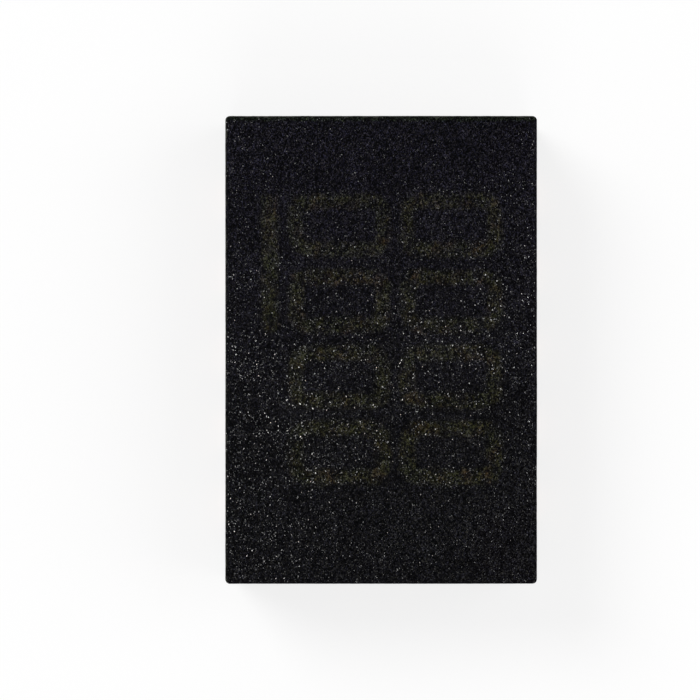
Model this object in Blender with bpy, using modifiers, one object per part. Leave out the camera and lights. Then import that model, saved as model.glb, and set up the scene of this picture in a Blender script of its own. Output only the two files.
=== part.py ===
# A flat no-lead chip package: ten leads on two sides, a thermal pad below.
#
# The origin is the centre of the seating plane, where the solder faces lie.
# +Z points out of the marked face. +Y runs along the body to the end of pin 1.
# Seen from above, pins 1 to 5 run down the -X side and 6 to 10 up the +X side.

from math import cos, pi, radians, sin, sqrt

import bmesh
import bpy
from mathutils import Vector

MM = 0.001

# Moulded body
BODY_LENGTH = 3.00 * MM
BODY_WIDTH = 2.00 * MM
TOP_HEIGHT = 0.75 * MM
STAND_OFF = 0.02 * MM
BODY_CORNER_RADIUS = 0.03 * MM
TOP_EDGE_BEVEL = 0.012 * MM

# Leadframe strip, half etched from below where the resin grips it
FRAME_THICKNESS = 0.20 * MM
ETCH_HEIGHT = 0.10 * MM

# Leads
LEADS_PER_SIDE = 5
LEAD_PITCH = 0.50 * MM
LEAD_WIDTH = 0.25 * MM
LEAD_LENGTH = 0.40 * MM
LEAD_TIP_RADIUS = 0.115 * MM
LEAD_LIP = 0.035 * MM
LEAD_NECK = 0.10 * MM

# Thermal pad, which carries the die
PAD_LENGTH = 2.39 * MM
PAD_WIDTH = 0.64 * MM
PAD_CORNER_RADIUS = 0.05 * MM
PAD_CHAMFER = 0.235 * MM
PAD_LIP = 0.06 * MM
TIE_BAR_WIDTH = 0.12 * MM
TIE_BAR_SPACING = 0.40 * MM

# Die and the adhesive film under it
DIE_LENGTH = 1.70 * MM
DIE_WIDTH = 0.56 * MM
DIE_THICKNESS = 0.20 * MM
ATTACH_THICKNESS = 0.02 * MM
ATTACH_MARGIN = 0.02 * MM

# Bond wires, each from a ball on the die to a stitch on a lead
WIRE_DIAMETER = 0.025 * MM
BALL_DIAMETER = 0.062 * MM
BALL_HEIGHT = 0.016 * MM
BOND_PITCH = 0.36 * MM
BOND_INSET = 0.06 * MM
LOOP_HEIGHT = 0.13 * MM
LOOP_SHOULDER = 0.08 * MM
STITCH_REACH = 0.10 * MM
STITCH_LENGTH = 0.04 * MM

# Laser marking: the bar beside pin 1 and plain hollow cells in two lines
MARK_DEPTH = 0.012 * MM
MARK_STROKE = 0.09 * MM
PIN_BAR_LENGTH = 0.86 * MM
PIN_BAR_WIDTH = 0.095 * MM
PIN_BAR_SIDE_INSET = 0.24 * MM
PIN_BAR_END_INSET = 0.52 * MM
CELLS_PER_LINE = 4
CELL_HEIGHT = 0.65 * MM
CELL_WIDTH = 0.40 * MM
CELL_RADIUS = 0.13 * MM
CELL_PITCH = 0.485 * MM
LINE_SPACING = 0.715 * MM
MARK_CENTRE_X = 0.09 * MM
MARK_CENTRE_Y = 0.07 * MM

# Gap between bonded faces, so that no two solids share a face
CLEARANCE = 0.003 * MM
# How far a cutter runs past the face that it opens
OVERRUN = 0.05 * MM

ARC_STEP = radians(18)
WELD = 1e-8

PIECES = "flat_no_lead_chip"
CUTTERS = "cutters"


# Scene and collections

def clear_scene():
    for obj in list(bpy.data.objects):
        bpy.data.objects.remove(obj, do_unlink=True)


def make_collection(name):
    found = bpy.data.collections.get(name)
    if found is None:
        found = bpy.data.collections.new(name)
        bpy.context.scene.collection.children.link(found)
    return found


def make_material(name, colour, roughness, metallic):
    mat = bpy.data.materials.new(name)
    mat.use_nodes = True
    shader = mat.node_tree.nodes["Principled BSDF"]
    shader.inputs["Base Color"].default_value = (*colour, 1.0)
    shader.inputs["Roughness"].default_value = roughness
    shader.inputs["Metallic"].default_value = metallic
    return mat


def add_piece(name, mesh, mat):
    piece = bpy.data.objects.new(name, mesh)
    bpy.data.collections[PIECES].objects.link(piece)
    if not mesh.materials:
        mesh.materials.append(mat)
    return piece


def add_cutter(name, mesh):
    cutter = bpy.data.objects.new(name, mesh)
    cutter.hide_render = True
    cutter.display_type = "WIRE"
    bpy.data.collections[CUTTERS].objects.link(cutter)
    return cutter


# Shape helpers

def evaluated_mesh(obj):
    bpy.context.view_layer.update()
    depsgraph = bpy.context.evaluated_depsgraph_get()
    mesh = bpy.data.meshes.new_from_object(obj.evaluated_get(depsgraph))
    mesh.transform(obj.matrix_world)
    source = obj.data
    bpy.data.objects.remove(obj, do_unlink=True)
    if isinstance(source, bpy.types.Curve):
        bpy.data.curves.remove(source)
    work = bmesh.new()
    work.from_mesh(mesh)
    bmesh.ops.remove_doubles(work, verts=work.verts, dist=WELD)
    work.to_mesh(mesh)
    work.free()
    return mesh


def rounded(corners):
    """Outline through corners (x, y, radius), anticlockwise, with each corner filleted."""
    points = []
    for i, (x, y, radius) in enumerate(corners):
        here = Vector((x, y))
        before = (Vector(corners[i - 1][:2]) - here).normalized()
        after = (Vector(corners[(i + 1) % len(corners)][:2]) - here).normalized()
        if radius <= 0:
            points.append(here)
            continue
        turn = pi - before.angle(after)
        centre = here + (before + after).normalized() * radius / cos(turn / 2)
        first = here + before * radius * sin(turn / 2) / cos(turn / 2) - centre
        steps = max(1, round(turn / ARC_STEP))
        for n in range(steps + 1):
            a = turn * n / steps
            points.append(centre + Vector((first.x * cos(a) - first.y * sin(a),
                                           first.x * sin(a) + first.y * cos(a))))
    return points


def rectangle(x_low, x_high, y_low, y_high, radius=0.0):
    return rounded([(x_low, y_low, radius), (x_high, y_low, radius),
                    (x_high, y_high, radius), (x_low, y_high, radius)])


def plate(outlines, z_low, z_high):
    """Flat solid between two heights. An outline inside another one is a hole in it."""
    curve = bpy.data.curves.new("outline", "CURVE")
    curve.dimensions = "2D"
    curve.fill_mode = "BOTH"
    curve.extrude = (z_high - z_low) / 2
    for outline in outlines:
        spline = curve.splines.new("POLY")
        spline.points.add(len(outline) - 1)
        for point, (x, y) in zip(spline.points, outline):
            point.co = (x, y, 0.0, 1.0)
        spline.use_cyclic_u = True
    obj = bpy.data.objects.new("outline", curve)
    obj.location.z = (z_low + z_high) / 2
    bpy.context.scene.collection.objects.link(obj)
    return evaluated_mesh(obj)


def tube(path):
    """Round wire along a path of (point, radius)."""
    curve = bpy.data.curves.new("path", "CURVE")
    curve.dimensions = "3D"
    curve.bevel_depth = WIRE_DIAMETER / 2
    curve.bevel_resolution = 2
    curve.use_fill_caps = True
    spline = curve.splines.new("POLY")
    spline.points.add(len(path) - 1)
    for point, (place, radius) in zip(spline.points, path):
        point.co = (*place, 1.0)
        point.radius = radius / curve.bevel_depth
    obj = bpy.data.objects.new("path", curve)
    bpy.context.scene.collection.objects.link(obj)
    mesh = evaluated_mesh(obj)
    mesh.shade_smooth()
    mesh.set_sharp_from_angle(angle=radians(40))
    return mesh


def add_boolean(obj, other, operation):
    modifier = obj.modifiers.new(other.name, "BOOLEAN")
    modifier.operation = operation
    modifier.object = other


def joined(meshes):
    """One mesh from solids that overlap."""
    helpers = [bpy.data.objects.new("part_of_solid", mesh) for mesh in meshes]
    for helper in helpers:
        bpy.context.scene.collection.objects.link(helper)
    for helper in helpers[1:]:
        add_boolean(helpers[0], helper, "UNION")
    mesh = evaluated_mesh(helpers[0])
    for helper in helpers[1:]:
        bpy.data.objects.remove(helper, do_unlink=True)
    return mesh


# Leads

def pins():
    """Side and Y of each pin: -1 is the -X side. Pin 1 comes first."""
    first = LEAD_PITCH * (LEADS_PER_SIDE - 1) / 2
    left = [(-1, first - n * LEAD_PITCH) for n in range(LEADS_PER_SIDE)]
    right = [(1, n * LEAD_PITCH - first) for n in range(LEADS_PER_SIDE)]
    return left + right


def lead_shape(grow, overrun):
    """Lead with its sawn end at X = 0 and its round tip towards +X."""
    half = LEAD_WIDTH / 2 + grow
    tip = LEAD_LENGTH + grow
    round_off = LEAD_TIP_RADIUS + grow
    foot = rounded([(-overrun, -half, 0), (tip, -half, round_off),
                    (tip, half, round_off), (-overrun, half, 0)])
    half += LEAD_LIP
    tip += LEAD_LIP
    round_off += LEAD_LIP
    lip = rounded([(LEAD_NECK - grow, -half, 0), (tip, -half, round_off),
                   (tip, half, round_off), (LEAD_NECK - grow, half, 0)])
    top = FRAME_THICKNESS + grow
    return joined([plate([foot], -grow, top), plate([lip], ETCH_HEIGHT - grow, top)])


def place_at_pin(obj, side, y):
    obj.location = (side * BODY_WIDTH / 2, y, 0)
    obj.rotation_euler.z = pi if side > 0 else 0


def make_leads(mat):
    shape = lead_shape(0, 0)
    for number, (side, y) in enumerate(pins(), 1):
        place_at_pin(add_piece(f"lead_{number}", shape, mat), side, y)


def lead_pockets():
    shape = lead_shape(CLEARANCE, OVERRUN)
    for number, (side, y) in enumerate(pins(), 1):
        pocket = add_cutter(f"pocket_lead_{number}", shape)
        place_at_pin(pocket, side, y)
        yield pocket


# Thermal pad

def pad_outline(grow):
    x = PAD_WIDTH / 2 + grow
    y = PAD_LENGTH / 2 + grow
    r = PAD_CORNER_RADIUS + grow
    chamfer = PAD_CHAMFER + grow * (2 - sqrt(2))
    return rounded([(-x, -y, r), (x, -y, r), (x, y, r), (-x + chamfer, y, 0), (-x, y - chamfer, 0)])


def paddle_shape(grow, overrun):
    top = FRAME_THICKNESS + grow
    parts = [plate([pad_outline(grow)], -grow, top),
             plate([pad_outline(grow + PAD_LIP)], ETCH_HEIGHT - grow, top)]
    half = TIE_BAR_WIDTH / 2 + grow
    reach = BODY_LENGTH / 2 + overrun
    for x in (-TIE_BAR_SPACING / 2, TIE_BAR_SPACING / 2):
        bar = rectangle(x - half, x + half, -reach, reach)
        parts.append(plate([bar], ETCH_HEIGHT - grow, top))
    return joined(parts)


# Die, adhesive and bond wires

def attach_bottom():
    return FRAME_THICKNESS + CLEARANCE


def die_bottom():
    return attach_bottom() + ATTACH_THICKNESS + CLEARANCE


def die_top():
    return die_bottom() + DIE_THICKNESS


def block(width, length, z_low, z_high, grow):
    x = width / 2 + grow
    y = length / 2 + grow
    return plate([rectangle(-x, x, -y, y)], z_low - grow, z_high + grow)


def attach_shape(grow):
    width = DIE_WIDTH + 2 * ATTACH_MARGIN
    length = DIE_LENGTH + 2 * ATTACH_MARGIN
    return block(width, length, attach_bottom(), attach_bottom() + ATTACH_THICKNESS, grow)


def die_shape(grow):
    return block(DIE_WIDTH, DIE_LENGTH, die_bottom(), die_top(), grow)


def loop_profile():
    """Distance from the ball, height and radius along a wire. The distance is of the whole span."""
    radius = WIRE_DIAMETER / 2
    seat = die_top() + CLEARANCE
    neck = seat + BALL_HEIGHT + radius
    peak = die_top() + LOOP_HEIGHT
    land = FRAME_THICKNESS + CLEARANCE + radius
    profile = [(0, 0, seat, BALL_DIAMETER / 2), (0, 0, seat + BALL_HEIGHT, BALL_DIAMETER / 2)]
    for n in range(4):
        a = pi / 2 * n / 4
        profile.append((LOOP_SHOULDER * (1 - cos(a)), 0, neck + (peak - neck) * sin(a), radius))
    for n in range(8):
        s = n / 7
        height = land + (peak - land) * (1 + cos(pi * s)) / 2
        profile.append((LOOP_SHOULDER * (1 - s), s, height, radius))
    profile.append((STITCH_LENGTH, 1, land - radius / 2, radius / 2))
    return profile


def wire_shape(side, pin_y, grow):
    ball = Vector((side * (DIE_WIDTH / 2 - BOND_INSET), pin_y * BOND_PITCH / LEAD_PITCH))
    stitch = Vector((side * (BODY_WIDTH / 2 - LEAD_LENGTH + STITCH_REACH), pin_y))
    span = (stitch - ball).length
    along = (stitch - ball) / span
    path = []
    for offset, share, height, radius in loop_profile():
        place = ball + along * (offset + share * span)
        path.append((Vector((place.x, place.y, height)), radius + grow))
    path[0][0].z -= grow
    path[-1][0].xy += along * grow
    return tube(path)


# Laser marking

def mark_outlines():
    x = -BODY_WIDTH / 2 + PIN_BAR_SIDE_INSET
    y = BODY_LENGTH / 2 - PIN_BAR_END_INSET
    outlines = [rectangle(x, x + PIN_BAR_WIDTH, y - PIN_BAR_LENGTH, y)]
    for line in (-1, 1):
        x = MARK_CENTRE_X + line * LINE_SPACING / 2
        for n in range(CELLS_PER_LINE):
            y = MARK_CENTRE_Y + (n - (CELLS_PER_LINE - 1) / 2) * CELL_PITCH
            for inset in (0, MARK_STROKE):
                half_x = CELL_HEIGHT / 2 - inset
                half_y = CELL_WIDTH / 2 - inset
                radius = CELL_RADIUS - inset
                outlines.append(rectangle(x - half_x, x + half_x, y - half_y, y + half_y, radius))
    return outlines


def mark_shape():
    return plate(mark_outlines(), TOP_HEIGHT - MARK_DEPTH, TOP_HEIGHT + OVERRUN)


# Moulded body

def body_blank():
    """Sawn block with rounded corners and a bevel around the marked face."""
    half_x = BODY_WIDTH / 2
    half_y = BODY_LENGTH / 2
    outline = rectangle(-half_x, half_x, -half_y, half_y, BODY_CORNER_RADIUS)
    mesh = plate([outline], STAND_OFF, TOP_HEIGHT)
    work = bmesh.new()
    work.from_mesh(mesh)
    weight = work.edges.layers.float.new("bevel_weight_edge")
    for edge in work.edges:
        on_top = all(v.co.z > (STAND_OFF + TOP_HEIGHT) / 2 for v in edge.verts)
        outer = len({face.normal.z > 0.5 for face in edge.link_faces}) == 2
        edge[weight] = 1.0 if on_top and outer else 0.0
    work.to_mesh(mesh)
    work.free()
    return mesh


def make_body(mat):
    body = add_piece("mould_body", body_blank(), mat)
    bevel = body.modifiers.new("marked_face_edge", "BEVEL")
    bevel.width = TOP_EDGE_BEVEL
    bevel.segments = 2
    bevel.limit_method = "WEIGHT"
    cutters = [add_cutter("pocket_paddle", paddle_shape(CLEARANCE, OVERRUN)),
               add_cutter("pocket_die_attach", attach_shape(CLEARANCE)),
               add_cutter("pocket_die", die_shape(CLEARANCE))]
    cutters += lead_pockets()
    for number, (side, y) in enumerate(pins(), 1):
        cutters.append(add_cutter(f"tunnel_wire_{number}", wire_shape(side, y, CLEARANCE)))
    cutters.append(add_cutter("laser_marks", mark_shape()))
    for cutter in cutters:
        add_boolean(body, cutter, "DIFFERENCE")


def build():
    clear_scene()
    make_collection(PIECES)
    make_collection(CUTTERS)
    resin = make_material("mould_resin", (0.009, 0.009, 0.011), 0.45, 0.0)
    tin = make_material("tinned_copper", (0.42, 0.40, 0.36), 0.45, 1.0)
    adhesive = make_material("die_adhesive", (0.35, 0.35, 0.36), 0.6, 0.3)
    silicon = make_material("silicon", (0.12, 0.13, 0.16), 0.2, 0.6)
    gold = make_material("bond_gold", (0.85, 0.60, 0.22), 0.25, 1.0)
    make_body(resin)
    add_piece("die_paddle", paddle_shape(0, 0), tin)
    make_leads(tin)
    add_piece("die_attach", attach_shape(0), adhesive)
    add_piece("silicon_die", die_shape(0), silicon)
    for number, (side, y) in enumerate(pins(), 1):
        add_piece(f"bond_wire_{number}", wire_shape(side, y, 0), gold)
    bpy.context.view_layer.update()


build()
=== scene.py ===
"""Looks of the flat no-lead chip: resin, solder pads, sawn copper, floor, light and camera."""

import bmesh
import bpy
import numpy as np
from mathutils import Matrix, Vector, noise


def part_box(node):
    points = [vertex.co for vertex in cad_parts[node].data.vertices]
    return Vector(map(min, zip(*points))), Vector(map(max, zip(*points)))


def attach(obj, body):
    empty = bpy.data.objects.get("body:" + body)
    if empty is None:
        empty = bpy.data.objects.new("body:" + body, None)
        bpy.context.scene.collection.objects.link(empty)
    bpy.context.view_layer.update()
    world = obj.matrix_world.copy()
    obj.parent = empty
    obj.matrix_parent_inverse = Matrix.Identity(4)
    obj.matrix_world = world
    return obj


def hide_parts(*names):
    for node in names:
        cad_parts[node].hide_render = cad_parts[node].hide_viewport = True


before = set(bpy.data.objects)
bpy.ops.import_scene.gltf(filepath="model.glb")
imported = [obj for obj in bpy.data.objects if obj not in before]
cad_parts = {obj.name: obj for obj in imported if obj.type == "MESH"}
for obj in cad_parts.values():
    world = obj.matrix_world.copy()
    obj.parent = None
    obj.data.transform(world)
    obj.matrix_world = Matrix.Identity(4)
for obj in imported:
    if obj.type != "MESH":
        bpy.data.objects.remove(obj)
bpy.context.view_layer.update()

MM = 0.001

# Moulded body, in millimetres
HALF_X = 1.0
HALF_Y = 1.5
UNDERSIDE = 0.02
TOP = 0.75
CORNER_RADIUS = 0.03
# Width of the bevel at the sawn edges, and how much chips widen and narrow it
BEVEL = 0.008
BEVEL_CHIPS = 0.006
# Widths of the painted highlight band at the edge and of the painted shade band beside the bevel
RIM_LIGHT = 0.02
RIM_SHADE = 0.009
# The sawn walls lie this far behind the copper faces, which the blade smears outwards
WALL_RECESS = 0.002
# Heights of the relief, and the width over which it fades out towards the edges
TOP_GRAIN = 0.0010
UNDERSIDE_GRAIN = 0.0003
WALL_GRAIN = 0.0007
SAW_LINES = 0.0012
RELIEF_FADE = 0.03
# Mesh size beside the edges, on the large faces and up the walls
FINE_STEP = 0.005
TOP_STEP = 0.015
WALL_STEP = 0.018
# Corners of the solids' triangles that are closer than this are one corner
WELD = 1e-6
# Faces this far inside the walls, below the marked face and above the solder side are in a pocket
POCKET_INSET = (0.01, 0.05, 0.001)
# Edges with a larger angle than this, in degrees, are shaded sharp
BODY_CREASE = 50

# Leadframe, in millimetres
FRAME_TOP = 0.20
# Mesh sizes
LEAD_STEP = 0.007
PADDLE_STEP = 0.010
# Height of the tin's grains, and how far up the foot they reach
TIN_GRAIN = 0.0011
TIN_DEPTH = 0.004
# How far the etched outline wavers
ETCH_WAVER = 0.008
# Spacing and half width of the sawn ends on the X walls and on the Y walls
LEAD_SPACING = (0.5, 0.4)
LEAD_HALF_WIDTH = (0.125, 0.06)
# Depth of the sawn layer, its fade, its fine lines, how far it sinks and how far it smears
SAWN_DEPTH = 0.003
SAWN_FADE = 0.002
SAWN_LINES = 0.0006
SAWN_SINK = 0.0004
SMEAR_REACH = 0.006
# The material of a sawn end starts this far inside its wall
SAWN_SKIN = 0.0025
# Ends of the silver plating towards the walls, and its depth
SILVER_END = (0.86, 1.30)
SILVER_DEPTH = 0.003

# Die, in millimetres
DIE_HALF_X = 0.28
DIE_HALF_Y = 0.85
DIE_TOP = 0.426
# Bond pads: spacing, distance of their centres from the die's edge, and half width
BOND_PITCH = 0.36
BOND_INSET = 0.06
BOND_PAD = 0.038
# Seal ring: distance from the die's edge and width
SEAL_RING = 0.016
SEAL_RING_WIDTH = 0.008

# Adhesive film under the die, in millimetres
FILM_STEP = 0.02
FILLET_REACH = 0.02
FILLET_HEIGHT = 0.06
FILLET_WAVER = 0.006

# Bond wires, in millimetres
WIRE_RADIUS = 0.0125
WIRE_SIDES = 16
# Edges of the sealed pieces with a larger angle than this, in degrees, are shaded sharp
SEALED_CREASE = 60
BALL_SEAT = 0.429
LOOP_PEAK = 0.556
LOOP_SHOULDER = 0.08
RISE_RINGS = 12
FALL_RINGS = 32
STITCH_X = 0.70
STITCH_SEAT = 0.203
# Height above the seat and radius of the rings of the pressed ball, up to the neck
BALL_RINGS = [(0, 0.022), (0.0015, 0.028), (0.006, 0.031), (0.011, 0.0305), (0.015, 0.027),
              (0.018, 0.021), (0.024, 0.0155), (0.0285, WIRE_RADIUS)]
# Distance past the loop, half width and half thickness of the rings of the flattened stitch
STITCH_RINGS = [(0.008, 0.014, 0.0115), (0.018, 0.018, 0.0080), (0.028, 0.021, 0.0050),
                (0.036, 0.019, 0.0035), (0.040, 0.012, 0.0025)]

# Laser marks, in millimetres
MARK_DEPTH = 0.008
MARK_FLOOR_GRAIN = 0.002
# Width over which a mark fades out, and how far its border strays
MARK_FADE = 0.036
MARK_STRAY = (0.014, 0.012)
# Bar beside the first pad: centre, half width, half length and corner radius
PIN_BAR = (-0.7125, 0.55, 0.0475, 0.43, 0.01)
# Hollow cells in two lines of four: half sizes, corner radius, stroke and spacing
CELL_SIZE = (0.325, 0.20)
CELL_RADIUS = 0.13
CELL_STROKE = 0.09
CELL_PITCH = 0.485
LINE_SPACING = 0.715
CELLS_IN_LINE = 4
MARK_CENTRE = (0.09, 0.07)
# The cells are fainter than the bar
CELL_TONE = 0.80

# Floor: distance below the pads in millimetres, and width in metres
FLOOR_GAP = 0.0005
FLOOR_WIDTH = 1.2

# Camera: width of the picture at the marked face, and place, in millimetres
IMAGE_WIDTH = 4.479
CAMERA_AT = (-0.1994, -0.001)
LENS = 200
SENSOR = 36


# Node helpers

class Graph:
    """Nodes of one material. A socket takes a value or another node's output."""

    def __init__(self, name):
        self.material = bpy.data.materials.new(name)
        self.material.use_nodes = True
        self.tree = self.material.node_tree
        self.tree.nodes.clear()

    def add(self, kind, inputs=None, **settings):
        node = self.tree.nodes.new("ShaderNode" + kind)
        for name, value in settings.items():
            setattr(node, name, value)
        for key, value in (inputs or {}).items():
            if isinstance(value, bpy.types.NodeSocket):
                self.tree.links.new(value, node.inputs[key])
            else:
                node.inputs[key].default_value = value
        return node

    def vector(self, operation, a, b):
        return self.add("VectorMath", {0: a, 1: b}, operation=operation).outputs[0]

    def millimetres(self, stretch=(1, 1, 1)):
        """Place on the object in millimetres. A stretch below 1 draws a pattern out along its axis."""
        coords = self.add("TexCoord").outputs["Object"]
        return self.vector("MULTIPLY", coords, [s / MM for s in stretch])

    def turned(self, angle, stretch):
        """Place in millimetres, turned about the Z axis and then stretched."""
        inputs = {"Vector": self.millimetres(), "Angle": angle}
        rotated = self.add("VectorRotate", inputs, rotation_type="Z_AXIS")
        return self.vector("MULTIPLY", rotated.outputs[0], stretch)

    def axes(self):
        """The three coordinates in millimetres."""
        return self.add("SeparateXYZ", {0: self.millimetres()}).outputs

    def math(self, operation, a, b=0.0):
        return self.add("Math", {0: a, 1: b}, operation=operation).outputs[0]

    def absolute(self, value):
        return self.math("ABSOLUTE", value)

    def product(self, first, *others):
        for value in others:
            first = self.math("MULTIPLY", first, value)
        return first

    def total(self, first, *others):
        for value in others:
            first = self.math("ADD", first, value)
        return first

    def larger(self, a, b):
        return self.math("MAXIMUM", a, b)

    def above(self, value, limit):
        return self.math("GREATER_THAN", value, limit)

    def below(self, value, limit):
        return self.math("LESS_THAN", value, limit)

    def attribute(self, name):
        return self.add("Attribute", attribute_name=name).outputs["Fac"]

    def noise(self, coords, scale, detail=2.0, roughness=0.5):
        inputs = {"Vector": coords, "Scale": scale, "Detail": detail, "Roughness": roughness}
        return self.add("TexNoise", inputs).outputs["Fac"]

    def span(self, value, low, high, out_low=0.0, out_high=1.0, smooth=False):
        inputs = {0: value, 1: low, 2: high, 3: out_low, 4: out_high}
        kind = "SMOOTHSTEP" if smooth else "LINEAR"
        return self.add("MapRange", inputs, interpolation_type=kind).outputs[0]

    def ramp(self, value, stops):
        node = self.add("ValToRGB", {"Fac": value})
        elements = node.color_ramp.elements
        while len(elements) < len(stops):
            elements.new(0.5)
        for element, (place, colour) in zip(elements, stops):
            element.position = place
            element.color = (*colour, 1.0)
        return node.outputs["Color"]

    def mix(self, factor, a, b, blend="MIX"):
        inputs = {0: factor, 6: a, 7: b}
        return self.add("Mix", inputs, data_type="RGBA", blend_type=blend).outputs[2]

    def cells(self, coords, scale, seed=0.0):
        """Random cells: the distance to each one's centre and its three random numbers."""
        offset = self.vector("ADD", coords, (seed, seed, seed))
        cells = self.add("TexVoronoi", {"Vector": offset, "Scale": scale})
        random = self.add("SeparateColor", {0: cells.outputs["Color"]})
        return cells.outputs["Distance"], *random.outputs

    def specks(self, coords, scale, radius, share, seed, contrast=2.0):
        """Round specks, one in some of the cells, each with its own strength."""
        distance, pick, random, size = self.cells(coords, scale, seed)
        reach = self.math("DIVIDE", distance, self.span(size, 0, 1, 0.6, 1.2))
        dot = self.span(reach, radius, radius * 0.55, smooth=True)
        return self.product(dot, self.above(pick, 1 - share), self.math("POWER", random, contrast))

    def bump(self, height, distance, strength):
        inputs = {"Height": height, "Distance": distance, "Strength": strength}
        return self.add("Bump", inputs).outputs["Normal"]

    def finish(self, **inputs):
        named = {name.replace("_", " ").title().replace("Ior", "IOR"): v for name, v in inputs.items()}
        shader = self.add("BsdfPrincipled", named)
        self.add("OutputMaterial", {"Surface": shader.outputs[0]})
        return self.material


# Materials

def resin_top():
    """Marked face: near-black filled epoxy with grain, bright filler flakes with painted glints, olive
    laser marks, and painted highlight and shade at the edge.
    """
    g = Graph("resin_top")
    mm = g.millimetres((1, 0.75, 1))
    x, y, _ = g.axes()

    # Grain: every grain of filler has its own tone, in loose clusters
    _, tone, hue, _ = g.cells(mm, 220)
    _, coarse, _, _ = g.cells(mm, 105, 4.0)
    clusters = g.noise(mm, 26, 3, 0.6)
    patches = g.span(g.noise(mm, 3.5, 3, 0.6), 0.3, 0.7, 0.75, 1.15)
    tone = g.product(g.math("POWER", tone, 2.6), g.span(coarse, 0, 1, 0.2, 1.8),
                     g.span(clusters, 0.3, 0.7, 0.65, 1.35), patches)
    cold = g.ramp(hue, [(0.1, (0.0185, 0.018, 0.034)), (0.5, (0.0235, 0.022, 0.033)),
                        (0.9, (0.028, 0.0255, 0.028))])
    warm = g.ramp(hue, [(0.1, (0.0175, 0.0175, 0.0255)), (0.5, (0.020, 0.020, 0.023)),
                        (0.9, (0.024, 0.023, 0.020))])
    light = g.mix(g.span(y, -0.6, 1.2), warm, cold)
    colour = g.mix(tone, (0.0002, 0.0002, 0.0005, 1), light)
    colour = g.mix(g.span(tone, 0.9, 2.0), colour, g.mix(1.0, light, light, "ADD"))

    # Olive tinge that the mould's edge leaves along the +Y side
    edge = g.total(y, g.span(clusters, 0.3, 0.7, -0.012, 0.012))
    tinge = g.mix(g.span(edge, 1.455, 1.48, smooth=True), (1, 1, 1, 1), (1.0, 1.40, 0.65, 1))
    colour = g.mix(1.0, colour, tinge, "MULTIPLY")

    # Laser marks: scorched resin, thin and patchy
    blotches = g.span(g.noise(mm, 15, 4, 0.75), 0.38, 0.60, 0.2, 1.35)
    scorch = g.product(g.math("POWER", coarse, 1.5), g.span(tone, 0, 1, 0.3, 2.0))
    scorch = g.product(g.attribute("mark"), blotches, scorch)
    olive = g.ramp(g.noise(mm, 11, 2, 0.5), [(0.38, (0.024, 0.027, 0.004)), (0.55, (0.029, 0.027, 0.004)),
                                             (0.72, (0.044, 0.026, 0.005))])
    colour = g.mix(1.0, colour, g.mix(scorch, (0, 0, 0, 1), olive), "ADD")

    # Density of the flakes and their painted glints: a slanting belt across the middle, with more towards
    # -Y and less at one corner
    belt = g.absolute(g.math("SUBTRACT", g.total(y, 0.1), g.product(x, 0.35)))
    density = g.product(g.span(belt, 1.35, 0.1, 0.38, 1.1, smooth=True),
                        g.span(x, -0.8, 0.3, 1.3, 0.88),
                        g.span(g.absolute(x), 0.4, 0.85, 0.84, 1.08),
                        g.span(y, -1.5, 1.5, 1.3, 0.7),
                        g.span(g.total(y, g.product(x, 0.4)), -1.5, -0.95, 1.45, 1.0, smooth=True),
                        g.span(g.math("SUBTRACT", y, x), -2.2, -1.7, 0.5, 1.0, smooth=True),
                        g.span(g.noise(mm, 3.2, 3, 0.7), 0.38, 0.62, 0.7, 1.4))

    # Filler flakes, lighter than the resin and painted brighter still as glints of light: fine dust and two
    # crossed sets of short streaks, each in a hollow of painted shade
    flakes_and_glints = g.product(g.specks(mm, 130, 0.40, 0.28, 3.1, 1.5), 0.25)
    painted_hollow_shade = 0.0
    for angle, seed in ((0.45, 7.7), (-0.55, 9.2)):
        streaks = g.turned(angle, (1, 0.34, 1))
        flakes_and_glints = g.total(flakes_and_glints, g.product(g.specks(streaks, 130, 0.28, 0.115, seed, 2.0), 1.1))
        painted_hollow_shade = g.larger(painted_hollow_shade, g.specks(streaks, 130, 0.75, 0.16, seed, 0.5))
    # Painted shade: the hollows around the streaks are painted near black
    colour = g.mix(g.product(painted_hollow_shade, 0.85), colour, (0.0004, 0.0004, 0.0008, 1))
    colour = g.mix(1.0, colour, g.product(flakes_and_glints, density), "ADD")

    # Edge: painted highlight on the bevels of the -X and +Y sides, and painted shade on the other bevels
    # and in the band beside the bevel
    rim = g.attribute("rim")
    painted_edge_highlight = g.product(g.larger(rim, 0), g.span(clusters, 0.3, 0.7, 0.4, 1.0))
    colour = g.mix(painted_edge_highlight, colour, (0.046, 0.048, 0.040, 1))
    dullness_and_painted_shade = g.product(g.span(rim, 0, -1, 0, 0.6), g.span(clusters, 0.35, 0.6, 0.2, 1.0))
    colour = g.mix(dullness_and_painted_shade, colour, (0.002, 0.002, 0.003, 1))
    return g.finish(base_color=colour, roughness=g.span(clusters, 0.3, 0.7, 0.6, 0.45),
                    specular_ior_level=0.025, normal=g.bump(clusters, 1.2e-6, 0.4))


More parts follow.
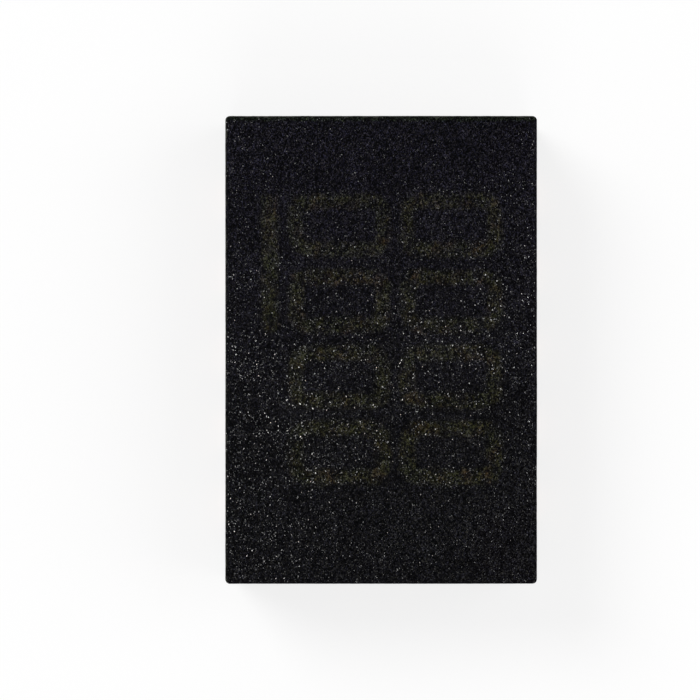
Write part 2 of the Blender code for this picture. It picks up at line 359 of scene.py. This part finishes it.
def resin_wall():
    """Sawn wall: cut and torn-out filler grains, with fine lines along the blade's path."""
    g = Graph("resin_wall")
    mm = g.millimetres()
    grain = g.noise(mm, 70, 4, 0.75)
    clouds = g.noise(g.millimetres((1, 1, 2.5)), 5, 3, 0.6)
    colour = g.ramp(grain, [(0.30, (0.003, 0.003, 0.0035)), (0.50, (0.011, 0.011, 0.012)),
                            (0.72, (0.034, 0.034, 0.036))])
    lines = g.noise(g.millimetres((1.2, 1.2, 95)), 1.0, 4, 0.7)
    colour = g.mix(1.0, colour, g.span(lines, 0.32, 0.68, 0.35, 1.9), "MULTIPLY")
    colour = g.mix(1.0, colour, g.span(clouds, 0.3, 0.7, 0.7, 1.35), "MULTIPLY")
    filler = g.total(g.product(g.specks(mm, 24, 0.40, 0.16, 5.3, 0.8), 0.020),
                     g.product(g.specks(mm, 48, 0.42, 0.24, 2.9, 1.2), 0.045),
                     g.product(g.specks(mm, 100, 0.42, 0.28, 8.1, 1.6), 0.110))
    filler = g.product(filler, g.span(lines, 0.35, 0.65, 0.5, 1.3))
    pits = g.specks(mm, 34, 0.42, 0.16, 6.6, 0.3)
    colour = g.mix(1.0, colour, filler, "ADD")
    # Painted shade: the pits of torn-out grains are painted near black
    colour = g.mix(pits, colour, (0.0015, 0.0015, 0.002, 1))
    relief = g.math("SUBTRACT", g.total(g.product(lines, 0.8), g.product(grain, 0.5)), pits)
    return g.finish(base_color=colour, roughness=g.span(grain, 0.3, 0.7, 0.75, 0.5),
                    specular_ior_level=0.1, normal=g.bump(relief, 2.5e-6, 0.7))


def resin_underside():
    """Solder side of the resin: smooth and near black, with a few tiny specks."""
    g = Graph("resin_underside")
    mm = g.millimetres()
    cloud = g.noise(mm, 6, 4, 0.6)
    colour = g.ramp(cloud, [(0.3, (0.0012, 0.0010, 0.0018)), (0.7, (0.0028, 0.0024, 0.0038))])
    dust = g.specks(mm, 22, 0.13, 0.05, 1.9)
    colour = g.mix(1.0, colour, g.product(dust, 0.5), "ADD")
    return g.finish(base_color=colour, roughness=g.span(cloud, 0.3, 0.7, 0.42, 0.30),
                    specular_ior_level=0.05, normal=g.bump(g.noise(mm, 40, 2), 0.6e-6, 0.3))


def plated_copper():
    """Leadframe: granular tin below, sawn copper at the walls, etched copper and silver in the resin."""
    g = Graph("plated_copper")
    mm = g.millimetres()
    x, y, z = g.axes()
    x = g.absolute(x)
    y = g.absolute(y)
    grain = g.noise(mm, 75, 3, 0.7)
    patches = g.noise(mm, 13, 4, 0.65)

    # Matte tin, tarnished and mottled towards the sawn ends
    _, crystal, _, _ = g.cells(mm, 135)
    level = g.total(g.product(crystal, 0.65), g.product(grain, 0.35))
    tin = g.ramp(level, [(0.18, (0.010, 0.0095, 0.008)), (0.36, (0.25, 0.24, 0.205)),
                         (0.52, (0.58, 0.56, 0.49)), (0.74, (0.92, 0.90, 0.81))])
    ends = g.product(g.span(x, 0.84, 0.93, smooth=True), g.span(patches, 0.36, 0.60, 1.0, 0.25))
    tin = g.mix(ends, tin, g.mix(1.0, tin, (0.36, 0.30, 0.24, 1), "MULTIPLY"))
    stain = g.span(g.noise(mm, 5.5, 4, 0.65), 0.58, 0.66, 0, 0.9, smooth=True)
    rust = g.ramp(patches, [(0.40, (0.70, 0.36, 0.16)), (0.52, (0.50, 0.42, 0.20)),
                            (0.62, (0.26, 0.27, 0.34))])
    tin = g.mix(stain, tin, g.mix(1.0, tin, rust, "MULTIPLY"))
    scrapes = g.noise(g.millimetres((2.2, 16, 1)), 1.0, 3, 0.6)
    scrapes = g.span(scrapes, 0.66, 0.70, 0, 0.8, smooth=True)
    tin = g.mix(scrapes, tin, g.mix(grain, (0.01, 0.01, 0.02, 1), (0.16, 0.15, 0.21, 1)))

    # Sawn copper, dulled in patches, down to the tin that the blade smears over its foot
    lines = g.noise(g.millimetres((0.7, 0.7, 150)), 1.0, 3, 0.7)
    dullness_and_painted_shade = g.total(g.product(lines, 0.45), g.product(patches, 0.55))
    copper = g.ramp(dullness_and_painted_shade, [(0.36, (0.24, 0.112, 0.070)), (0.48, (0.52, 0.260, 0.168)),
                           (0.62, (0.74, 0.43, 0.305))])
    smear = g.total(g.span(grain, 0.3, 0.7, 0.010, 0.018), g.span(patches, 0.52, 0.68, 0, 0.022))
    sawn = g.larger(g.above(x, HALF_X - SAWN_SKIN), g.above(y, HALF_Y - SAWN_SKIN))
    bare = g.product(sawn, g.above(z, smear))

    # Inside the resin: etched copper, with silver where the wires and the die are bonded
    etched = g.ramp(level, [(0.2, (0.20, 0.095, 0.058)), (0.6, (0.52, 0.27, 0.175))])
    silver = g.ramp(level, [(0.2, (0.38, 0.37, 0.35)), (0.6, (0.66, 0.65, 0.62))])
    waver = g.span(grain, 0.3, 0.7, -0.006, 0.006)
    plated = g.product(g.below(g.total(x, waver), SILVER_END[0]), g.below(g.total(y, waver), SILVER_END[1]),
                       g.above(z, FRAME_TOP - SILVER_DEPTH))
    sealed = g.product(g.above(z, UNDERSIDE + 0.001), g.math("SUBTRACT", 1, sawn))
    colour = g.mix(sealed, tin, g.mix(plated, etched, silver))
    colour = g.mix(bare, colour, copper)
    relief = g.mix(bare, level, lines)
    return g.finish(base_color=colour, metallic=1.0, roughness=g.span(grain, 0.3, 0.7, 0.52, 0.36),
                    normal=g.bump(relief, 3e-6, 0.6))


def die_silicon():
    """Die: sawn grey sides, and on top blocks of circuitry, aluminium bond pads and a seal ring."""
    g = Graph("silicon")
    mm = g.millimetres()
    x, y, z = g.axes()
    x = g.absolute(x)
    y = g.absolute(y)
    top = g.above(z, DIE_TOP - 0.001)

    # Circuitry
    brick = {"Vector": mm, "Scale": 1.0, "Brick Width": 0.19, "Row Height": 0.105, "Mortar Size": 0.004,
             "Color1": (0, 0, 0, 1), "Color2": (1, 1, 1, 1), "Mortar": (0.5, 0.5, 0.5, 1)}
    blocks = g.add("TexBrick", brick, offset=0.37, squash=1.6, squash_frequency=3)
    tone = g.add("SeparateColor", {0: blocks.outputs["Color"]}).outputs[0]
    traces = g.noise(g.millimetres((90, 10, 1)), 1.0, 2, 0.6)
    level = g.total(g.product(tone, 0.6), g.product(traces, 0.4))
    circuit = g.ramp(level, [(0.25, (0.060, 0.052, 0.080)), (0.50, (0.10, 0.12, 0.14)),
                             (0.75, (0.19, 0.18, 0.15))])

    # Bond pads and seal ring
    across = g.absolute(g.math("SUBTRACT", x, DIE_HALF_X - BOND_INSET))
    along = g.math("PINGPONG", y, BOND_PITCH / 2)
    pads = g.below(g.larger(across, along), BOND_PAD)
    edge = g.larger(g.math("SUBTRACT", x, DIE_HALF_X), g.math("SUBTRACT", y, DIE_HALF_Y))
    ring = g.below(g.absolute(g.total(edge, SEAL_RING)), SEAL_RING_WIDTH / 2)
    metal = g.product(top, g.larger(pads, ring))

    sides = g.ramp(g.noise(g.millimetres((6, 6, 60)), 1.0, 3, 0.6),
                   [(0.35, (0.075, 0.080, 0.090)), (0.65, (0.15, 0.155, 0.17))])
    colour = g.mix(top, sides, g.mix(metal, circuit, (0.78, 0.78, 0.76, 1)))
    return g.finish(base_color=colour, metallic=g.span(metal, 0, 1, 0.4, 1.0),
                    roughness=g.span(tone, 0, 1, 0.18, 0.28), normal=g.bump(level, 0.5e-6, 0.3))


def inner_material(name, dark, light, scale, metallic, rough):
    """Sealed pieces: two tones of one colour in a fine pattern."""
    g = Graph(name)
    pattern = g.noise(g.millimetres(), scale, 3, 0.6)
    colour = g.ramp(pattern, [(0.35, dark), (0.65, light)])
    return g.finish(base_color=colour, metallic=metallic, roughness=g.span(pattern, 0.3, 0.7, *rough),
                    normal=g.bump(pattern, 1e-6, 0.3))


def paper_floor():
    """White paper that also glows a little where it is looked at, so it stays pale."""
    g = Graph("paper_floor")
    pattern = g.noise(g.millimetres(), 0.4, 4, 0.6)
    colour = g.ramp(pattern, [(0.3, (0.96, 0.96, 0.96)), (0.7, (0.98, 0.98, 0.98))])
    paper = g.add("BsdfDiffuse", {"Color": colour})
    glow = g.add("Emission", {"Color": (1, 1, 1, 1), "Strength": 1.0})
    rays = g.add("LightPath")
    seen = g.larger(rays.outputs["Is Camera Ray"], rays.outputs["Is Glossy Ray"])
    seen = g.larger(seen, rays.outputs["Is Transmission Ray"])
    surface = g.add("MixShader", {0: g.product(seen, 0.75), 1: paper.outputs[0], 2: glow.outputs[0]})
    g.add("OutputMaterial", {"Surface": surface.outputs[0]})
    return g.material


# Mesh helpers

def baked(piece):
    """New mesh of an object with its modifiers applied."""
    bpy.context.view_layer.update()
    return bpy.data.meshes.new_from_object(piece.evaluated_get(bpy.context.evaluated_depsgraph_get()))


def grid_lines(low, high, step):
    """Coordinates from low to high, closer together near both ends."""
    edge = np.cumsum([0, 1, 1, 1, 1.5, 1.5]) * FINE_STEP
    count = max(1, round((high - low - 2 * edge[-1]) / step))
    middle = np.linspace(low + edge[-1], high - edge[-1], count + 1)
    return np.concatenate([low + edge[:-1], middle, (high - edge[:-1])[::-1]])


def box_surface(xs, ys, zs):
    """Closed box with a grid line at each coordinate: its points and quads."""
    shape = (len(xs), len(ys), len(zs))
    outer = np.zeros(shape, bool)
    outer[[0, -1]] = outer[:, [0, -1]] = outer[:, :, [0, -1]] = True
    index = np.zeros(shape, int)
    index[outer] = np.arange(outer.sum())
    i, j, k = np.nonzero(outer)
    points = np.column_stack([xs[i], ys[j], zs[k]])
    quads = []
    sides = [(index[0], True), (index[-1], False), (index[:, 0], False),
             (index[:, -1], True), (index[:, :, 0], True), (index[:, :, -1], False)]
    for face, flip in sides:
        corners = [face[:-1, :-1], face[1:, :-1], face[1:, 1:], face[:-1, 1:]]
        quad = np.stack(corners, -1).reshape(-1, 4)
        quads.append(quad[:, ::-1] if flip else quad)
    return points, np.concatenate(quads)


def sample_noise(points, scale, seed):
    """Smooth noise between about -1 and 1 at each point, the same on every run."""
    shift = Vector((seed, seed * 1.7, seed * 2.3))
    return np.array([noise.noise(Vector(p) * scale + shift) for p in points])


def round_off(a, b, radius):
    """Move points of a square corner onto its fillet. a and b run from the fillet's centre."""
    reach = np.maximum(np.hypot(a, b), 1e-12)
    scale = np.where((a > 0) & (b > 0), np.maximum(a, b) / reach, 1.0)
    return a * scale, b * scale


# Moulded body

def stroke_mask(points):
    """1 inside the laser marks and 0 outside, with soft ragged borders."""
    x, y = points[:, 0], points[:, 1]

    def to_box(cx, cy, half_x, half_y, radius):
        dx = np.abs(x - cx) - half_x + radius
        dy = np.abs(y - cy) - half_y + radius
        outside = np.hypot(np.maximum(dx, 0), np.maximum(dy, 0))
        return outside + np.minimum(np.maximum(dx, dy), 0) - radius

    def inside(distance):
        return np.clip(0.5 - (distance + stray) / MARK_FADE, 0, 1)

    stray = MARK_STRAY[0] * sample_noise(points, 45, 4.0) + MARK_STRAY[1] * sample_noise(points, 20, 5.0)
    mask = inside(to_box(*PIN_BAR))
    half_stroke = CELL_STROKE / 2
    for line in (-1, 1):
        for n in range(CELLS_IN_LINE):
            cx = MARK_CENTRE[0] + line * LINE_SPACING / 2
            cy = MARK_CENTRE[1] + (n - (CELLS_IN_LINE - 1) / 2) * CELL_PITCH
            ring = to_box(cx, cy, CELL_SIZE[0] - half_stroke, CELL_SIZE[1] - half_stroke,
                          CELL_RADIUS - half_stroke)
            mask = np.maximum(mask, CELL_TONE * inside(np.abs(ring) - half_stroke))
    return mask


def body_points():
    """Points and quads of the moulded body, its marks and the painted highlight and shade of its rim."""
    half = np.array([HALF_X, HALF_Y]) - WALL_RECESS
    xs = grid_lines(-half[0], half[0], TOP_STEP)
    ys = grid_lines(-half[1], half[1], TOP_STEP)
    zs = grid_lines(UNDERSIDE, TOP, WALL_STEP)
    points, quads = box_surface(xs, ys, zs)
    flat = points.copy()
    outward = np.sign(flat[:, :2])
    to_wall = half - np.abs(flat[:, :2])
    on_top = np.isclose(flat[:, 2], TOP)
    on_bottom = np.isclose(flat[:, 2], UNDERSIDE)
    on_x = np.isclose(to_wall[:, 0], 0)
    on_wall = on_x | np.isclose(to_wall[:, 1], 0)
    mark = np.where(on_top, stroke_mask(flat), 0.0)

    # Chipped saw edge: its bevel widens and narrows along the wall
    level = flat * (1, 1, 0)
    chips = sample_noise(level, 22, 9.0) + 0.7 * sample_noise(level, 60, 2.0)
    bevel = BEVEL + BEVEL_CHIPS * np.clip(chips, -0.6, 2)
    inner = to_wall.min(1)
    toward_x = to_wall[:, 0] < to_wall[:, 1]
    for height, sign in ((TOP, 1), (UNDERSIDE, -1)):
        a = bevel - inner
        b = bevel - sign * (height - flat[:, 2])
        near = (a > 0) & (b > 0)
        new_a, new_b = round_off(a, b, bevel)
        shift = np.where(near, a - new_a, 0)
        points[:, 0] -= outward[:, 0] * shift * toward_x
        points[:, 1] -= outward[:, 1] * shift * ~toward_x
        points[:, 2] -= np.where(near, sign * (b - new_b), 0)
        if height == TOP:
            # The rim attribute carries painted light: highlight on the bevel of the -X and +Y sides, and
            # shade on the other bevels and in a band beside the bevel
            lit = (flat[:, 0] < RIM_LIGHT - half[0]) | (flat[:, 1] > half[1] - RIM_LIGHT)
            beside = on_top & (inner < bevel + RIM_SHADE)
            rim = np.where(near, np.where(lit, 1.0, -1.0), np.where(beside, -0.5, 0.0))

    # Rounded upright corners
    a, b = (np.abs(points[:, :2]) - (half - CORNER_RADIUS)).T
    new_a, new_b = round_off(a, b, CORNER_RADIUS)
    corner = (a > 0) & (b > 0)
    points[:, 0] -= np.sign(points[:, 0]) * np.where(corner, a - new_a, 0)
    points[:, 1] -= np.sign(points[:, 1]) * np.where(corner, b - new_b, 0)

    # Grain of the moulded faces and rough floor of the marks. The face sinks by the grain's height.
    grain = sample_noise(flat, 38, 1.0)
    inside = np.clip(inner / RELIEF_FADE, 0, 1)
    sunk = mark * (MARK_DEPTH + MARK_FLOOR_GRAIN * grain)
    points[:, 2] += on_top * inside * (TOP_GRAIN * grain - sunk - TOP_GRAIN)
    points[:, 2] += on_bottom * inside * UNDERSIDE_GRAIN * grain

    # Saw lines on the walls
    lines = sample_noise(flat * (0.04, 0.04, 1), 45, 6.0)
    groove = SAW_LINES * (lines - 0.6) + WALL_GRAIN * grain
    middle = on_wall & ~on_top & ~on_bottom
    points[:, 0] += outward[:, 0] * groove * (middle & on_x)
    points[:, 1] += outward[:, 1] * groove * (middle & ~on_x)
    return points, quads, {"mark": mark, "rim": rim}


def closed_copy(node):
    """Copy of a node whose triangles share their corners, to cut its pocket with."""
    mesh = node.data.copy()
    triangles = bmesh.new()
    triangles.from_mesh(mesh)
    bmesh.ops.remove_doubles(triangles, verts=triangles.verts, dist=WELD * MM)
    triangles.to_mesh(mesh)
    triangles.free()
    cutter = bpy.data.objects.new("cutter", mesh)
    bpy.context.scene.collection.objects.link(cutter)
    return cutter


def cut_pockets(body):
    """Body's mesh with the pockets of the leadframe, die, adhesive and wires cut out."""
    cutters = [closed_copy(node) for name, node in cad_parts.items() if name != "mould_body"]
    body.modifiers.new("triangles", "TRIANGULATE")
    for cutter in cutters:
        cut = body.modifiers.new("pocket", "BOOLEAN")
        cut.object = cutter
        cut.solver = "MANIFOLD"
    mesh = baked(body)
    body.modifiers.clear()
    for cutter in cutters:
        bpy.data.objects.remove(cutter)

    # The pockets take the walls' material
    beside, under, over = POCKET_INSET
    for face in mesh.polygons:
        x, y, z = (abs(c) / MM for c in face.center)
        if x < HALF_X - beside and y < HALF_Y - beside and UNDERSIDE + over < z < TOP - under:
            face.material_index = 1
    mesh.set_sharp_from_angle(angle=np.radians(BODY_CREASE))
    return mesh


def make_body():
    """Moulded body with its marked face, sawn walls, solder side and pockets."""
    points, quads, masks = body_points()
    mesh = bpy.data.meshes.new("moulded_body")
    mesh.from_pydata((points * MM).tolist(), [], quads.tolist())
    for name, values in masks.items():
        mesh.attributes.new(name, "FLOAT", "POINT").data.foreach_set("value", values)
    for mat in (resin_top(), resin_wall(), resin_underside()):
        mesh.materials.append(mat)
    upright = np.array([p.normal.z for p in mesh.polygons])
    slots = np.where(upright > 0.6, 0, np.where(upright < -0.6, 2, 1))
    mesh.polygons.foreach_set("material_index", slots)
    mesh.shade_smooth()
    body = bpy.data.objects.new("moulded_body", mesh)
    bpy.context.scene.collection.objects.link(body)
    body.data = cut_pockets(body)
    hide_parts("mould_body")
    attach(body, "root")


# Leadframe

def fine_copy(node, step):
    """Even fine mesh over a node, in millimetres."""
    source = bpy.data.objects.new("source", node.data.copy())
    source.data.transform(Matrix.Scale(1 / MM, 4))
    bpy.context.scene.collection.objects.link(source)
    even = source.modifiers.new("even", "REMESH")
    even.mode = "VOXEL"
    even.voxel_size = step
    even.use_smooth_shade = True
    mesh = baked(source)
    bpy.data.objects.remove(source)
    return mesh


def make_plated(name, step, mat):
    """Leadframe piece with granular tin on its foot and a smeared edge where the saw cut it."""
    mesh = fine_copy(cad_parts[name], step)
    flat = np.empty(len(mesh.vertices) * 3)
    mesh.vertices.foreach_get("co", flat)
    flat = flat.reshape(-1, 3)
    points = flat.copy()
    grain = sample_noise(flat, 80, 3.0) + 0.6 * sample_noise(flat, 30, 8.0)
    foot = np.clip(1 - flat[:, 2] / TIN_DEPTH, 0, 1)
    points[:, 2] += foot * TIN_GRAIN * (1 + grain)

    # Etched outline: it wavers where the foot stands out of the resin
    out = np.clip(1.5 - flat[:, 2] / UNDERSIDE, 0, 1) * (np.abs(flat[:, 0]) < HALF_X - 0.01)
    for axis, seed in ((0, 11.0), (1, 12.0)):
        waver = sample_noise(flat, 28, seed) + 0.5 * sample_noise(flat, 75, seed + 2)
        points[:, axis] += out * ETCH_WAVER * waver

    # The blade drags copper along its path and leaves fine lines. Leads lie on whole steps of their
    # spacing, and tie bars half a step off them.
    for axis, half, offset in ((0, HALF_X, 0), (1, HALF_Y, 0.5)):
        along = 1 - axis
        sawn = np.clip((np.abs(flat[:, axis]) - half + SAWN_DEPTH) / SAWN_FADE, 0, 1)
        if not sawn.any():
            continue
        lines = sample_noise(flat * (0.05, 0.05, 1), 60, 6.0)
        points[:, axis] += np.sign(flat[:, axis]) * sawn * (SAWN_LINES * lines - SAWN_SINK)
        ragged = np.clip(0.5 + sample_noise(flat * (0, 0, 1), 90, 2.0), 0, 1.3)
        spacing = LEAD_SPACING[axis]
        middle = (np.round(flat[:, along] / spacing - offset) + offset) * spacing
        side = np.clip((flat[:, along] - middle) / LEAD_HALF_WIDTH[axis] * 4 - 3, 0, 1)
        points[:, along] += sawn * side * SMEAR_REACH * ragged
    mesh.vertices.foreach_set("co", (points * MM).ravel())
    mesh.materials.clear()
    mesh.materials.append(mat)
    piece = bpy.data.objects.new("plated_" + name, mesh)
    bpy.context.scene.collection.objects.link(piece)
    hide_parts(name)
    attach(piece, "root")


def make_leadframe():
    copper = plated_copper()
    for name in list(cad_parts):
        if name.startswith("lead_"):
            make_plated(name, LEAD_STEP, copper)
    make_plated("die_paddle", PADDLE_STEP, copper)


# Pieces sealed in the resin

def add_sealed(name, points, faces, mat):
    """Smooth piece in place of a node, from points in millimetres."""
    mesh = bpy.data.meshes.new("formed_" + name)
    mesh.from_pydata((points * MM).tolist(), [], faces)
    mesh.materials.append(mat)
    mesh.shade_smooth()
    mesh.set_sharp_from_angle(angle=np.radians(SEALED_CREASE))
    piece = bpy.data.objects.new("formed_" + name, mesh)
    bpy.context.scene.collection.objects.link(piece)
    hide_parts(name)
    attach(piece, "root")


def wire_rings(span):
    """Distance along, height, half width and half thickness of a bond wire's rings."""
    rings = [(0, BALL_SEAT + height, radius, radius) for height, radius in BALL_RINGS]
    neck = rings[-1][1]
    land = STITCH_SEAT + WIRE_RADIUS
    for a in np.linspace(0, np.pi / 2, RISE_RINGS + 1)[1:]:
        height = neck + (LOOP_PEAK - neck) * np.sin(a)
        rings.append((LOOP_SHOULDER * (1 - np.cos(a)), height, WIRE_RADIUS, WIRE_RADIUS))
    for s in np.linspace(0, 1, FALL_RINGS + 1)[1:]:
        height = land + (LOOP_PEAK - land) * (1 + np.cos(np.pi * s)) / 2
        rings.append((LOOP_SHOULDER * (1 - s) + span * s, height, WIRE_RADIUS, WIRE_RADIUS))
    for past, width, thickness in STITCH_RINGS:
        rings.append((span + past, STITCH_SEAT + thickness, width, thickness))
    return np.array(rings)


def make_wire(name, gold):
    """Bond wire: a pressed ball on the die, a loop and a stitch pressed flat on the lead."""
    low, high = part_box(name)
    centre = (np.array(low) + np.array(high)) / 2 / MM
    side = np.sign(centre[0])
    row = round(2 * centre[1] / (BOND_PITCH + LEAD_SPACING[0]))
    ball = np.array([side * (DIE_HALF_X - BOND_INSET), row * BOND_PITCH])
    stitch = np.array([side * STITCH_X, row * LEAD_SPACING[0]])
    span = np.hypot(*(stitch - ball))
    along = np.append((stitch - ball) / span, 0)
    across = np.array([-along[1], along[0], 0])
    up = np.array([0, 0, 1])

    # Each ring lies across the wire's path
    offset, height, width, thickness = wire_rings(span).T
    tangent = np.column_stack([np.gradient(offset), np.gradient(height)])
    tangent[:len(BALL_RINGS)] = (0, 1)
    tangent[-len(STITCH_RINGS):] = (1, 0)
    tangent /= np.hypot(*tangent.T)[:, None]
    normal = np.outer(-tangent[:, 1], along) + np.outer(tangent[:, 0], up)
    middle = np.append(ball, 0) + np.outer(offset, along) + np.outer(height, up)
    turn = np.linspace(0, 2 * np.pi, WIRE_SIDES, endpoint=False)
    points = (middle[:, None] + (width[:, None] * np.cos(turn))[..., None] * across
              + (thickness[:, None] * np.sin(turn))[..., None] * normal[:, None])
    corner = np.arange(points.shape[0] * WIRE_SIDES).reshape(-1, WIRE_SIDES)
    after = np.roll(corner, -1, 1)
    quads = np.stack([corner[:-1], after[:-1], after[1:], corner[1:]], -1).reshape(-1, 4)
    faces = quads.tolist() + [corner[0, ::-1].tolist(), corner[-1].tolist()]
    add_sealed(name, points.reshape(-1, 3), faces, gold)


def make_adhesive(mat):
    """Film of adhesive, squeezed out into a lumpy fillet around the die."""
    low, high = (np.array(corner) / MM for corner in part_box("die_attach"))
    xs = grid_lines(low[0], high[0], FILM_STEP)
    ys = grid_lines(low[1], high[1], FILM_STEP)
    points, quads = box_surface(xs, ys, np.linspace(low[2], high[2], 4))
    flat = points.copy()
    past_die = np.maximum(np.abs(flat[:, 0]) - DIE_HALF_X, np.abs(flat[:, 1]) - DIE_HALF_Y)
    lumps = sample_noise(flat, 12, 15.0) + 0.6 * sample_noise(flat, 40, 16.0)
    climb = FILLET_HEIGHT * (1 - past_die / FILLET_REACH) ** 2 * (0.6 + 0.5 * lumps)
    on_top = np.isclose(flat[:, 2], high[2])
    points[:, 2] += on_top * (past_die > 0) * np.maximum(climb, 0)
    waver = FILLET_WAVER * lumps * (past_die > 0)
    points[:, 0] += np.sign(flat[:, 0]) * waver * (np.abs(flat[:, 0]) > DIE_HALF_X)
    points[:, 1] += np.sign(flat[:, 1]) * waver * (np.abs(flat[:, 1]) > DIE_HALF_Y)
    add_sealed("die_attach", points, quads.tolist(), mat)


def make_sealed():
    """Wires, adhesive and die. The die is a plain block, so its own mesh stays and takes a material."""
    gold = inner_material("bond_gold", (0.72, 0.45, 0.12), (0.90, 0.65, 0.26), 120, 1.0, (0.2, 0.3))
    for name in list(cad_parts):
        if name.startswith("bond_wire_"):
            make_wire(name, gold)
    grey = inner_material("die_adhesive", (0.30, 0.30, 0.31), (0.45, 0.45, 0.46), 60, 0.3, (0.5, 0.7))
    make_adhesive(grey)
    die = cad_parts["silicon_die"]
    die.data.materials.clear()
    die.data.materials.append(die_silicon())


# Stage

def make_floor():
    bpy.ops.mesh.primitive_plane_add(size=FLOOR_WIDTH)
    floor = bpy.context.object
    floor.name = "floor"
    floor.location.z = -FLOOR_GAP * MM
    floor.data.materials.append(paper_floor())


def add_lamp(name, towards, strength, softness):
    """Distant soft lamp that shines from the direction given."""
    data = bpy.data.lights.new(name, "SUN")
    data.energy = strength
    data.angle = np.radians(softness)
    lamp = bpy.data.objects.new(name, data)
    lamp.location = Vector(towards) * 0.05
    lamp.rotation_euler = (-Vector(towards)).to_track_quat("-Z", "Y").to_euler()
    bpy.context.scene.collection.objects.link(lamp)


def light_scene():
    """Three soft lamps and a studio that is white at the walls and dark at the ceiling."""
    add_lamp("key", (-0.55, 0.50, 0.67), 1.70, 30)
    add_lamp("fill", (0.70, 0.05, 0.71), 0.90, 45)
    add_lamp("front", (0.05, -0.80, 0.60), 0.70, 45)
    world = bpy.data.worlds.new("studio")
    world.use_nodes = True
    nodes = world.node_tree.nodes
    link = world.node_tree.links.new
    split = nodes.new("ShaderNodeSeparateXYZ")
    link(nodes.new("ShaderNodeTexCoord").outputs["Generated"], split.inputs[0])
    ceiling = nodes.new("ShaderNodeMapRange")
    for name, value in (("From Min", 0.25), ("From Max", 0.65), ("To Min", 1.0), ("To Max", 0.15)):
        ceiling.inputs[name].default_value = value
    link(split.outputs["Z"], ceiling.inputs["Value"])
    strength = nodes.new("ShaderNodeMath")
    strength.operation = "MAXIMUM"
    link(nodes.new("ShaderNodeLightPath").outputs["Is Camera Ray"], strength.inputs[0])
    link(ceiling.outputs[0], strength.inputs[1])
    link(strength.outputs[0], nodes["Background"].inputs["Strength"])
    nodes["Background"].inputs["Color"].default_value = (1, 1, 1, 1)
    bpy.context.scene.world = world
    bpy.context.scene.view_settings.view_transform = "Standard"


def add_camera():
    """Camera straight above the marked face, far enough away for the photo's flat view."""
    data = bpy.data.cameras.new("camera")
    data.lens = LENS
    data.sensor_width = SENSOR
    data.clip_start = 0.001
    data.clip_end = 2
    camera = bpy.data.objects.new("camera", data)
    height = TOP + IMAGE_WIDTH * LENS / SENSOR
    camera.location = (CAMERA_AT[0] * MM, CAMERA_AT[1] * MM, height * MM)
    bpy.context.scene.collection.objects.link(camera)
    bpy.context.scene.camera = camera


add_camera()
make_body()
make_leadframe()
make_sealed()
make_floor()
light_scene()
